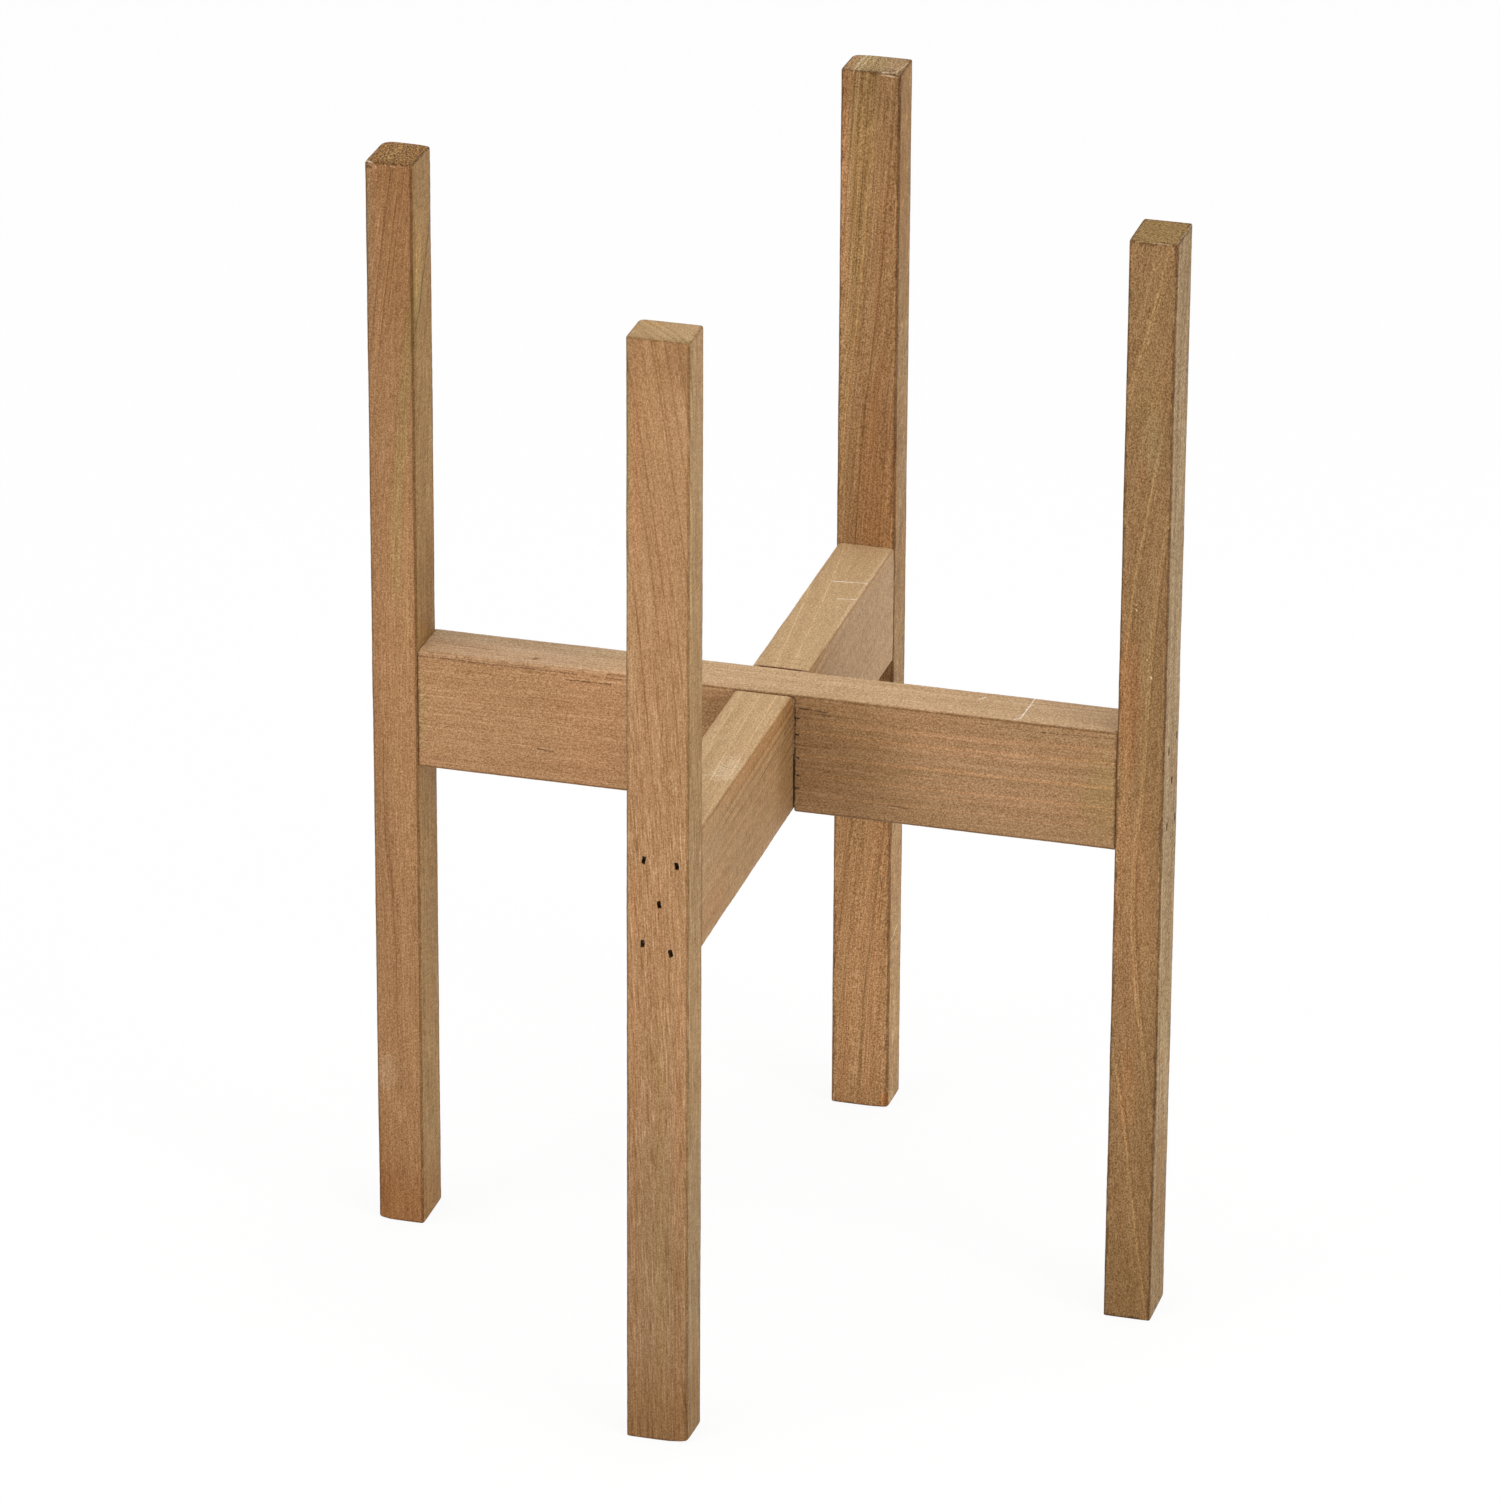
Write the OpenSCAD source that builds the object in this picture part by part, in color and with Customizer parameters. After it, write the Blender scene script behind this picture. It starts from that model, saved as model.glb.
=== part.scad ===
// Wooden plant stand: four posts nailed to the ends of two rails that cross in a halved joint.
// Millimetres, Z up. The origin is on the floor, under the middle of the cross.
// X runs along the through rail and Y along the cross rail.

/* [Posts] */
// Height of each post
post_h = 500; // [380:10:700]
// Width of a post, across the rail that it is nailed to
post_w = 27; // [24:0.5:45]
// Thickness of a post, along the rail that it is nailed to
post_t = 21; // [15:0.5:32]
// Radius of the four long edges of a post
post_edge_r = 1.8; // [0.5:0.1:4]
// Radius of the sanded edges round both ends of a post
post_end_r = 0.9; // [0.3:0.1:2]

/* [Rails] */
// Clear distance between two facing posts, and so the length of a rail
pot_gap = 310; // [220:5:450]
// Height of a rail
rail_h = 55; // [44:1:90]
// Setback of a rail's sides from the sides of its posts, which are of the same stock before planing
rail_reveal = 0.25; // [0:0.05:1.5]
// Height of the rails' top edges, where the pot stands
seat_z = 277.5; // [150:2.5:350]
// Radius of the four long edges of a rail
rail_edge_r = 2.4; // [0.5:0.1:5]
// Radius of the sanded edges round both ends of a rail
rail_end_r = 0.8; // [0.3:0.1:2]

/* [Halved joint] */
// Clearance between a cheek of a notch and the rail that lies in it
lap_fit = 0.15; // [0.05:0.05:0.5]

/* [Nails] */
// Length of a nail, from the top of its head to its point
nail_len = 50; // [40:1:60]
// Width of a nail's shank, along the grain of the post
shank_w = 1.6; // [1:0.1:2]
// Thickness of a nail, across the grain of the post
nail_t = 1.4; // [0.8:0.1:2]
// Width of a nail's head, along the grain of the post
head_w = 3; // [2.4:0.1:4]
// Height of a nail's head
head_t = 1; // [0.5:0.1:1.5]
// Height of the sloped neck under a nail's head
neck_t = 0.6; // [0.2:0.1:1]
// Length of a nail's chisel point
point_len = 4; // [2:0.5:6]
// Depth of a nail's head below the face of the post
sink = 2.2; // [1:0.1:4]
// Play of the nail gun's driver round the head, on each side
driver_fit = 0.2; // [0.1:0.05:0.4]
// Distance from a rail's top and bottom edges to the outer nails
nail_edge_z = 8.5; // [6:0.5:12]
// Distance from a rail's side faces to the outer nails
nail_edge_y = 6.5; // [5:0.5:9]

/* [Hidden] */
$fn = 48;

// Turn about Z from the right-hand post to each post
right = 0;
back = 90;
left = 180;
front = 270;

rail_t = post_w - 2 * rail_reveal;   // thickness of a rail
rail_z = seat_z - rail_h;            // underside of the rails
lap_z = seat_z - rail_h / 2;         // where the two rails bear on each other
post_in = pot_gap / 2;               // inner face of a post, from the middle
post_out = post_in + post_t;         // outer face of a post, from the middle
over = 1;                            // how far a cutter runs past what it cuts

// The five nails of a post lie like the five on a die: side and height, in steps of one row
die = [[-1, 1], [1, 1], [0, 0], [-1, -1], [1, -1]];
// They were driven by hand, so each one wanders from its place: across, up and turn in degrees
drift_rows = [
    [[1.0, 1.0, -8], [1.5, 0, 6], [0.8, 0.5, 9], [0.4, 1.0, -4], [-1.0, -2.0, 11]],
    [[1.2, -0.5, 5], [2.2, 1.0, -6], [1.5, 2.0, 8], [1.0, 2.4, 0], [2.4, 0.4, -7]],
];

post_colour = "#A97F56";
post_front_colour = "#B48A62";
through_colour = "#AE8460";
cross_colour = "#C2A078";
nail_colour = "#6E6A64";

// A rectangle about the origin with its corners rounded
module rounded_rect(w, h, r) {
    square([w, h - 2 * r], center = true);
    square([w - 2 * r, h], center = true);
    for (x = [-1, 1], y = [-1, 1])
        translate([x * (w / 2 - r), y * (h / 2 - r)]) circle(r);
}

// A squared timber along Z, standing on Z = 0: the long edges have one radius and the ends another
module timber(w, t, len, edge_r, end_r) {
    intersection() {
        linear_extrude(len) rounded_rect(w, t, edge_r);
        translate([0, t / 2, len / 2]) rotate([90, 0, 0])
            linear_extrude(t) rounded_rect(w, len, end_r);
        translate([-w / 2, 0, len / 2]) rotate([90, 0, 90])
            linear_extrude(w) rounded_rect(t, len, end_r);
    }
}

// A collated nail with a T head, its head's top at the origin and its point down
module nail() {
    intersection() {
        translate([0, nail_t / 2, 0]) rotate([90, 0, 0]) linear_extrude(nail_t) polygon([
            [-head_w / 2, 0],
            [head_w / 2, 0],
            [head_w / 2, -head_t],
            [shank_w / 2, -head_t - neck_t],
            [shank_w / 2, -nail_len],
            [-shank_w / 2, -nail_len],
            [-shank_w / 2, -head_t - neck_t],
            [-head_w / 2, -head_t],
        ]);
        translate([-head_w / 2, 0, 0]) rotate([90, 0, 90]) linear_extrude(head_w) polygon([
            [-nail_t / 2, 0],
            [nail_t / 2, 0],
            [nail_t / 2, -nail_len + point_len],
            [0, -nail_len],
            [-nail_t / 2, -nail_len + point_len],
        ]);
    }
}

// The slot that the driver leaves over a nail's head
module driver_slot() {
    translate([0, 0, (sink + over) / 2])
        cube([head_w + 2 * driver_fit, nail_t + 2 * driver_fit, sink + over], center = true);
}

// Puts its children at each nail of the post at this turn, with -Z along the nail
module at_nails(turn) {
    drift = drift_rows[turn % 180 == 0 ? 1 : 0];
    for (i = [0 : len(die) - 1])
        rotate([0, 0, turn])
            translate([
                post_out - sink,
                die[i][0] * (rail_t / 2 - nail_edge_y) + drift[i][0],
                lap_z + die[i][1] * (rail_h / 2 - nail_edge_z) + drift[i][1],
            ])
                rotate([0, 90, 0]) rotate([0, 0, drift[i][2]]) children();
}

module nails(turn) {
    color(nail_colour) at_nails(turn) nail();
}

module post(turn, colour) {
    color(colour) difference() {
        rotate([0, 0, turn]) translate([(post_in + post_out) / 2, 0, 0])
            timber(post_t, post_w, post_h, post_edge_r, post_end_r);
        at_nails(turn) {
            nail();
            driver_slot();
        }
    }
}

// A rail along X, before its notch is cut
module rail_blank() {
    translate([-pot_gap / 2, 0, lap_z]) rotate([0, 90, 0])
        timber(rail_h, rail_t, pot_gap, rail_edge_r, rail_end_r);
}

// The half of a crossing rail's height that a notch takes away, from z_low to z_high
module notch(z_low, z_high) {
    notch_w = rail_t + 2 * lap_fit;
    translate([-notch_w / 2, -rail_t / 2 - over, z_low])
        cube([notch_w, rail_t + 2 * over, z_high - z_low]);
}

// Notched from below, so its top edge runs on from post to post
module rail_through() {
    color(through_colour) difference() {
        rail_blank();
        notch(rail_z - over, lap_z);
        at_nails(right) nail();
        at_nails(left) nail();
    }
}

// Notched from above, to lie under the through rail
module rail_cross() {
    color(cross_colour) difference() {
        rotate([0, 0, back]) difference() {
            rail_blank();
            notch(lap_z, seat_z + over);
        }
        at_nails(front) nail();
        at_nails(back) nail();
    }
}

post(left, post_colour);  // post_left
post(right, post_colour);  // post_right
post(front, post_front_colour);  // post_front
post(back, post_colour);  // post_back
rail_through();
rail_cross();
nails(left);  // nails_left
nails(right);  // nails_right
nails(front);  // nails_front
nails(back);  // nails_back
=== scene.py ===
import math

import bmesh
import bpy
from mathutils import Matrix, Vector, noise


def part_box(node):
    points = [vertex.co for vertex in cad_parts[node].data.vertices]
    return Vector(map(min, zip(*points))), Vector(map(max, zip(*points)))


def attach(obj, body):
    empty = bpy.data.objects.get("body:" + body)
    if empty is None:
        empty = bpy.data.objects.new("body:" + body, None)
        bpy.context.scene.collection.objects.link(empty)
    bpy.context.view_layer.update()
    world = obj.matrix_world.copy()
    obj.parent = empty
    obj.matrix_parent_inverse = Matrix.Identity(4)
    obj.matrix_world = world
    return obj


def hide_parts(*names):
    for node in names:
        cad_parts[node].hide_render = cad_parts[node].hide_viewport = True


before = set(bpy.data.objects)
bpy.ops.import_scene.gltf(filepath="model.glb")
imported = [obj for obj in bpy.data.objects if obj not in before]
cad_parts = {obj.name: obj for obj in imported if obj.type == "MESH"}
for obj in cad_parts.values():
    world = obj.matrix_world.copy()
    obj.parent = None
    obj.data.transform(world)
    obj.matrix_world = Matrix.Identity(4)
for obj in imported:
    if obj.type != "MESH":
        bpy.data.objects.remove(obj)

scene = bpy.context.scene
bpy.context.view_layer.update()   # the solids' box, which the dressed timbers have to stay inside
mm = 0.001
postFace = 0.176    # the posts' outer faces, from the middle
railMiddle = 0.25   # the middle of the rails, above the floor
print("frame loaded:", ", ".join(sorted(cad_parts)))

cameraSetup = {
    "place": (0.904403, -3.288825, 1.774401),
    "azimuth": 15.531,      # degrees round the stand, from the front towards the right-hand post
    "elevation": 24.158,    # degrees above the horizon
    "roll": -0.308,
    "lens": 208.77,         # mm on a 36 mm wide sensor
}


def setCamera(setup):
    camera = bpy.data.objects.new("camera", bpy.data.cameras.new("camera"))
    scene.collection.objects.link(camera)
    camera.data.lens = setup["lens"]
    camera.data.sensor_width = 36
    azimuth, elevation, roll = (math.radians(setup[k]) for k in ("azimuth", "elevation", "roll"))
    back = Vector((math.sin(azimuth) * math.cos(elevation), -math.cos(azimuth) * math.cos(elevation),
                   math.sin(elevation)))
    side = Vector((0, 0, 1)).cross(back).normalized()
    up = back.cross(side)
    turned = Matrix((side, up, back)).transposed() @ Matrix.Rotation(-roll, 3, "Z")
    camera.matrix_world = Matrix.Translation(setup["place"]) @ turned.to_4x4()
    scene.camera = camera


lightSetup = {
    "sky": 0.6,             # how much of the light comes evenly from all round
    "floorTone": 0.8,
    "floorGlow": 0.9,       # how much of the floor that the camera sees glows white
    "lamps": [
        # name, place, size and strength in watts
        ("overheadSoftbox", (0.3, -0.4, 3.2), 2.6, 38),
        ("leftSoftbox", (-2.4, -2.6, 1.7), 1.8, 28),
        ("rightSoftbox", (3.0, -1.6, 1.5), 1.8, 32),
    ],
}


def addLamp(name, place, size, watts):
    lamp = bpy.data.lights.new(name, "AREA")
    lamp.shape = "SQUARE"
    lamp.size = size
    lamp.energy = watts
    holder = bpy.data.objects.new(name, lamp)
    scene.collection.objects.link(holder)
    aim = Vector((0, 0, railMiddle)) - Vector(place)
    holder.matrix_world = Matrix.Translation(place) @ aim.to_track_quat("-Z", "Y").to_matrix().to_4x4()


def feed(socket, value):
    if isinstance(value, bpy.types.NodeSocket):
        socket.id_data.links.new(value, socket)
    else:
        socket.default_value = value


def addNode(kind, values=(), tree=None, **settings):
    # Unless a tree is named, the node joins the first of its values that is a socket
    values = values if isinstance(values, dict) else dict(enumerate(values))
    tree = tree or next(v.id_data for v in values.values() if isinstance(v, bpy.types.NodeSocket))
    node = tree.nodes.new("ShaderNode" + kind)
    for name, setting in settings.items():
        setattr(node, name, setting)
    for socket, value in values.items():
        feed(node.inputs[socket], value)
    return node


def calc(operation, *values, clamp=False):
    return addNode("Math", values, operation=operation, use_clamp=clamp).outputs[0]


def times(first, second):
    return calc("MULTIPLY", first, second)


def minus(first, second):
    return calc("SUBTRACT", first, second)


def vectorCalc(operation, *values):
    node = addNode("VectorMath", values, operation=operation)
    return node.outputs["Value" if operation in ("LENGTH", "DOT_PRODUCT") else "Vector"]


def scaled(vector, factor):
    return addNode("VectorMath", {"Vector": vector, "Scale": factor}, operation="SCALE").outputs[0]


def parted(vector):
    return addNode("SeparateXYZ", [vector]).outputs


def joined(*parts):
    return addNode("CombineXYZ", parts).outputs[0]


def ramp(value, low, high, toLow=0.0, toHigh=1.0):
    values = {"Value": value, "From Min": low, "From Max": high, "To Min": toLow, "To Max": toHigh}
    return addNode("MapRange", values, interpolation_type="SMOOTHSTEP").outputs[0]


def cloud(vector, stretch, seed, detail=2.0, roughness=0.5):
    # Noise on a vector that is stretched first, so that the grain can be long and thin
    moved = vectorCalc("MULTIPLY_ADD", vector, stretch, seed)
    values = {"Vector": moved, "Scale": 1.0, "Detail": detail, "Roughness": roughness}
    return addNode("TexNoise", values).outputs[0]


def signed(value):
    # The middle part of a noise, spread from -1 to 1
    return ramp(value, 0.3, 0.7, -1.0, 1.0)


def blend(mask, first, second):
    return addNode("Mix", {0: mask, 6: first, 7: second}, data_type="RGBA").outputs[2]


def tinted(given, mask):
    return blend(mask, given["Color"], vectorCalc("MULTIPLY", given["Color"], given["Tint"]))


def newGroup(name, inputs, outputs={"Color": ["Color"]}):
    # The sockets are named by kind
    tree = bpy.data.node_groups.new(name, "ShaderNodeTree")
    for way, kinds in (("INPUT", inputs), ("OUTPUT", outputs)):
        for kind, labels in kinds.items():
            for label in labels:
                tree.interface.new_socket(label, in_out=way, socket_type="NodeSocket" + kind)
    return tree, tree.nodes.new("NodeGroupInput").outputs, tree.nodes.new("NodeGroupOutput").inputs


def makeGrowthLayers():
    # Millimetres in the timber to a vector that follows the grain: layer outwards, across, along
    tree, given, made = newGroup(
        "growthLayers", {"Vector": ["Position", "Pith"], "Float": ["Run", "Wander", "Seed"]},
        {"Vector": ["Grain"]})
    outwards = vectorCalc("MULTIPLY", vectorCalc("SUBTRACT", given["Position"], given["Pith"]), (1, 1, 0))
    radius = vectorCalc("LENGTH", outwards)
    tangent = vectorCalc("CROSS_PRODUCT", vectorCalc("NORMALIZE", given["Pith"]), (0, 0, 1))
    across = vectorCalc("DOT_PRODUCT", outwards, tangent)
    drift = minus(cloud(given["Position"], (0.03, 0.03, 0.006), given["Seed"], 1.0), 0.5)
    layer = calc("ADD", radius, calc("MULTIPLY_ADD", drift, given["Wander"], given["Run"]))
    feed(made["Grain"], joined(layer, across, parted(given["Position"])[2]))
    return tree


def makeFaceTones():
    # One tone for the faces that look along each axis, because they were cut at different angles
    tree, given, made = newGroup(
        "faceTones", {"Vector": ["Normal"], "Color": ["Along X", "Along Y", "Along Z"]})
    share = parted(vectorCalc("MULTIPLY", given["Normal"], given["Normal"]))
    alongY = ramp(minus(share[1], share[0]), -0.3, 0.3)
    sides = blend(alongY, given["Along X"], given["Along Y"])
    feed(made["Color"], blend(ramp(share[2], 0.35, 0.65), sides, given["Along Z"]))
    return tree


def makeStainedWood():
    tree, given, made = newGroup(
        "stainedWood",
        {"Vector": ["Grain"], "Color": ["Tone", "Warm", "Cool", "Deep"],
         "Float": ["Clouding", "Layers", "Lines", "Pale Lines", "Fibres", "Speckle", "Flecks", "Streaks",
                   "Sawn", "Threads", "End Grain", "Shortness", "Closeness", "Seed"]},
        {"Color": ["Color"], "Float": ["Height", "Dryness"]})
    seed, whole = given["Seed"], given["Grain"]
    grain = vectorCalc("MULTIPLY", whole, joined(1.0, 1.0, given["Shortness"]))
    closer = vectorCalc("MULTIPLY", grain, joined(given["Closeness"], 1.0, 1.0))
    broad = cloud(grain, (0.16, 0.05, 0.009), seed, 3.0, 0.65)
    warm = times(ramp(broad, 0.5, 0.7), given["Clouding"])
    cool = times(ramp(broad, 0.5, 0.3), given["Clouding"])
    tone = blend(warm, given["Tone"], vectorCalc("MULTIPLY", given["Tone"], given["Warm"]))
    tone = blend(cool, tone, vectorCalc("MULTIPLY", given["Tone"], given["Cool"]))
    layers = signed(cloud(grain, (0.35, 0.04, 0.004), seed, 4.0, 0.7))
    fibres = signed(cloud(grain, (3.0, 3.0, 0.13), seed, 2.0, 0.6))
    speckle = signed(cloud(whole, (1.5, 1.5, 1.25), seed, 2.0, 0.7))
    flecks = ramp(cloud(grain, (0.9, 0.9, 2.2), calc("ADD", seed, 9.0), 1.0, 0.6), 0.56, 0.68)
    stripes = cloud(closer, (0.8, 0.1, 0.008), seed, 3.0, 0.75)
    pores = ramp(cloud(whole, (1.1, 0.9, 0.3), seed, 2.0, 0.6), 0.35, 0.65, -1.0, 1.0)
    streaks = signed(cloud(grain, (0.6, 0.45, 0.012), calc("ADD", seed, 3.0), 3.0, 0.6))
    threads = cloud(grain, (1.9, 1.2, 0.05), calc("ADD", seed, 12.0), 1.0, 0.6)
    sawn = signed(cloud(whole, (0.3, 0.3, 1.1), calc("ADD", seed, 6.0), 2.0, 0.7))
    lines = ramp(stripes, 0.565, 0.66)
    lightened = (
        (layers, "Layers"), (speckle, "Speckle"), (streaks, "Streaks"), (sawn, "Sawn"),
        (ramp(threads, 0.43, 0.3, 0.0, 0.38), "Threads"), (pores, "End Grain"), (fibres, "Fibres"),
        (flecks, "Flecks"), (ramp(stripes, 0.43, 0.35), "Pale Lines"),
    )
    light = 1.0
    for effect, amount in lightened:
        light = calc("MULTIPLY_ADD", effect, given[amount], light)
    light = calc("MAXIMUM", light, 0.1)
    dark = times(times(lines, ramp(fibres, -0.6, 0.5, 0.25, 1.0)), given["Lines"])
    dark = calc("MAXIMUM", dark, times(ramp(threads, 0.55, 0.67), given["Threads"]))
    # Where the wood is darker it is also browner
    lit = vectorCalc("MULTIPLY", tone, joined(light, calc("POWER", light, 1.25), calc("POWER", light, 1.7)))
    feed(made["Color"], blend(dark, lit, vectorCalc("MULTIPLY", lit, given["Deep"])))
    height = calc("MULTIPLY_ADD", speckle, 0.4, times(fibres, -0.6))
    feed(made["Height"], minus(height, times(lines, 0.7)))
    feed(made["Dryness"], calc("MULTIPLY_ADD", speckle, 0.5, 0.5, clamp=True))
    return tree


def depths(given):
    # A point's place from the timber's middle, and how deep it is below the nearest face and the next
    place = vectorCalc("SUBTRACT", given["Position"], given["Middle"])
    inside = parted(vectorCalc("SUBTRACT", given["Half Size"], vectorCalc("ABSOLUTE", place)))
    side = calc("MINIMUM", inside[0], inside[1])
    other = calc("MINIMUM", calc("MAXIMUM", inside[0], inside[1]), inside[2])
    return place, calc("MINIMUM", side, inside[2]), calc("MAXIMUM", side, other)


def makeArrisWearAndShade():
    # Along every edge of the timber the stain lies thin in places, a lighter tint that is also a painted
    # highlight, and a dark line of painted shade follows the edges, most on their rounded parts
    tree, given, made = newGroup(
        "arrisWearAndShade",
        {"Color": ["Color", "Tint"], "Vector": ["Position", "Normal", "Middle", "Half Size", "Spared"],
         "Float": ["Width", "Seed"]})
    place, _, second = depths(given)
    ragged = cloud(given["Position"], (0.35, 0.35, 0.12), given["Seed"], 3.0, 0.7)
    reach = times(given["Width"], ramp(ragged, 0.35, 0.65, 0.2, 1.8))
    mask = ramp(calc("DIVIDE", second, reach), 1.0, 0.3)
    facing = parted(vectorCalc("ABSOLUTE", given["Normal"]))
    turned = calc("MAXIMUM", times(facing[0], facing[1]),
                  times(facing[2], calc("MAXIMUM", facing[0], facing[1])))
    rounded = times(ramp(turned, 0.1, 0.4), ramp(ragged, 0.25, 0.5, 0.4, 1.0))
    corner = vectorCalc("DOT_PRODUCT", vectorCalc("DIVIDE", place, given["Half Size"]), given["Spared"])
    mask = times(calc("MAXIMUM", mask, rounded), ramp(corner, 1.92, 1.75))
    feed(made["Color"], tinted(given, mask))
    return tree


def makeRecessShading():
    # Whatever lies well inside the timber's faces is a slot or a notch, painted dark as shade
    tree, given, made = newGroup(
        "recessShading", {"Color": ["Color", "Tint"], "Vector": ["Position", "Middle", "Half Size"]})
    _, first, second = depths(given)
    # On a rounded arris two faces are near, and in a slot or notch only one
    feed(made["Color"], tinted(given, times(ramp(first, 0.1, 0.45), ramp(second, 3.4, 4.4))))
    return tree


def makeUnevenness():
    # What keeps bands, stains, painted shade and light, and scratches from having clean outlines
    tree, given, made = newGroup(
        "unevenness", {"Vector": ["Position", "Grain"], "Float": ["Seed"]},
        {"Float": ["Streaky", "Blotchy", "Hazy", "Broken"], "Vector": ["Wobbled"]})
    position, seed = given["Position"], given["Seed"]
    blotchy = minus(cloud(position, (0.5, 0.5, 0.16), seed, 3.0, 0.65), 0.5)
    feed(made["Streaky"], minus(cloud(given["Grain"], (0.5, 0.5, 0.035), seed, 2.0, 0.6), 0.5))
    feed(made["Blotchy"], blotchy)
    feed(made["Hazy"], times(blotchy, 0.25))
    feed(made["Broken"], ramp(cloud(position, (0.9, 0.9, 0.9), seed, 2.0, 0.7), 0.3, 0.55))
    wobble = addNode("TexNoise", {"Vector": position, "Scale": 0.35, "Detail": 1.0}).outputs["Color"]
    offset = scaled(vectorCalc("SUBTRACT", wobble, (0.5, 0.5, 0.5)), 0.7)
    feed(made["Wobbled"], vectorCalc("ADD", position, offset))
    return tree


def makeGrowthBand():
    # One layer of another tone, which shows wherever the timber's faces cut it
    tree, given, made = newGroup(
        "growthBand",
        {"Color": ["Color", "Tint"], "Vector": ["Grain"],
         "Float": ["Streaky", "Layer", "Width", "Middle", "Reach"]})
    parts = parted(given["Grain"])
    away = calc("ABSOLUTE", minus(parts[0], given["Layer"]))
    away = calc("MULTIPLY_ADD", given["Streaky"], 0.8, calc("DIVIDE", away, given["Width"]))
    distance = calc("ABSOLUTE", minus(parts[2], given["Middle"]))
    ends = ramp(calc("DIVIDE", distance, given["Reach"]), 1.0, 0.6)
    feed(made["Color"], tinted(given, times(ramp(away, 1.0, 0.15), ends)))
    return tree


def makePatch():
    # A soft tint round a point: a stain or faded place, and on some timbers painted shade or painted light
    tree, given, made = newGroup(
        "patch", {"Color": ["Color", "Tint"], "Vector": ["Position", "Centre", "Size"], "Float": ["Blotchy"]})
    away = vectorCalc("DIVIDE", vectorCalc("SUBTRACT", given["Position"], given["Centre"]), given["Size"])
    away = calc("MULTIPLY_ADD", given["Blotchy"], 1.2, vectorCalc("LENGTH", away))
    feed(made["Color"], tinted(given, ramp(away, 1.0, 0.35)))
    return tree


def makeScratchOrPaintedLine():
    # A scratch, crack or tiny knot, and on some timbers a painted line of shade or highlight: everything
    # close to the line from Start to End
    tree, given, made = newGroup(
        "scratchOrPaintedLine",
        {"Color": ["Color", "Tint"], "Vector": ["Wobbled", "Start", "End"],
         "Float": ["Height", "Broken", "Width", "Amount", "Depth"]},
        {"Color": ["Color"], "Float": ["Height"]})
    fromStart = vectorCalc("SUBTRACT", given["Wobbled"], given["Start"])
    span = vectorCalc("SUBTRACT", given["End"], given["Start"])
    share = calc("DIVIDE", vectorCalc("DOT_PRODUCT", fromStart, span),
                 vectorCalc("DOT_PRODUCT", span, span), clamp=True)
    away = vectorCalc("LENGTH", vectorCalc("SUBTRACT", fromStart, scaled(span, share)))
    mask = ramp(calc("DIVIDE", away, given["Width"]), 1.0, 0.3)
    mask = times(times(mask, given["Broken"]), given["Amount"])
    feed(made["Color"], blend(mask, given["Color"], given["Tint"]))
    feed(made["Height"], minus(given["Height"], times(mask, given["Depth"])))
    return tree


effects = {tree.name: tree for tree in (
    makeGrowthLayers(), makeFaceTones(), makeStainedWood(), makeArrisWearAndShade(), makeRecessShading(),
    makeUnevenness(), makeGrowthBand(), makePatch(), makeScratchOrPaintedLine(),
)}
print("shared effects made:", ", ".join(effects))


def useEffect(name, values):
    return addNode("Group", values, node_tree=effects[name]).outputs


def colour(code):
    # "#RRGGBB" as it is seen, to the linear values that a socket takes
    parts = [int(code[i:i + 2], 16) / 255 for i in (1, 3, 5)]
    return [p / 12.92 if p <= 0.04045 else ((p + 0.055) / 1.055) ** 2.4 for p in parts] + [1.0]


def gain(tint):
    return [share / 100 for share in tint] + [1.0]


# In every timber's own millimetres the third number runs along the grain. For a post they are right of
# its middle, behind its middle and above the floor. For the through rail they are below its middle,
# behind its middle and right of the crossing; for the cross rail, right of its middle, below its middle
# and behind the crossing. Each pair is the shift to them and the turn in degrees.
timberSpaces = {
    "post_left": ((165.5, 0, 0), (0, 0, 0)),
    "post_right": ((-165.5, 0, 0), (0, 0, 0)),
    "post_front": ((0, 165.5, 0), (0, 0, 0)),
    "post_back": ((0, -165.5, 0), (0, 0, 0)),
    "rail_through": ((250, 0, 0), (0, -90, 0)),
    "rail_cross": ((0, 250, 0), (90, 0, 0)),
}
lengthAxis = {node: 2 if node.startswith("post") else 0 if node == "rail_through" else 1
              for node in timberSpaces}


def timberMiddle(node):
    # The middle and half size of a timber in its own millimetres
    low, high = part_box(node)
    shift, turn = timberSpaces[node]
    turned = Matrix.Rotation(math.radians(turn[1]), 3, "Y") @ Matrix.Rotation(math.radians(turn[0]), 3, "X")
    middle = turned @ ((low + high) / 2 / mm) + Vector(shift)
    return middle, Vector([abs(v) for v in turned @ ((high - low) / 2 / mm)])


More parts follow.
